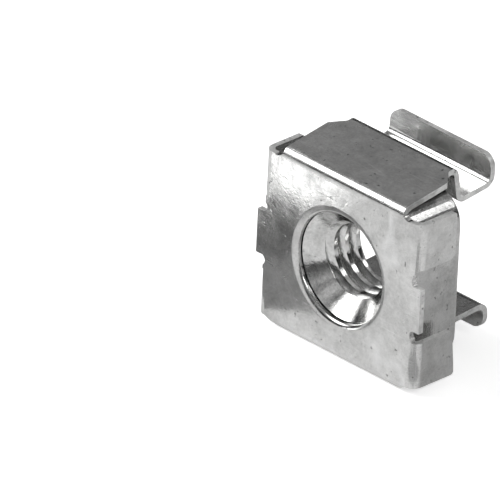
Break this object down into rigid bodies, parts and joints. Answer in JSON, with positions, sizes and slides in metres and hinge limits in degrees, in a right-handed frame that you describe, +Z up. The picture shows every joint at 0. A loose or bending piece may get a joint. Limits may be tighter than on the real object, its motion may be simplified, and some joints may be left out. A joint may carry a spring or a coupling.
{
  "type": "rack cage nut",
  "caption": "Square nut held loosely in a folded spring-steel cage that clips into a square rack hole.",
  "frame": {"origin": "middle of the nut's threaded hole, on its axis", "axes": "+Y along the threaded hole from the face plate towards the lugs, +Z up from the bottom flange to the flared top flange, +X across the cage"},
  "size_m": [0.0148, 0.0092, 0.0138],
  "materials": {
    "cage_steel": "bright plated spring steel, smooth with fine scratches",
    "nut_steel": "bright plated steel, faintly brushed along the hole's direction"
  },
  "bodies": {
    "root": {"spring_cage": "cage_steel", "square_nut": "nut_steel"}
  },
  "joints": []
}
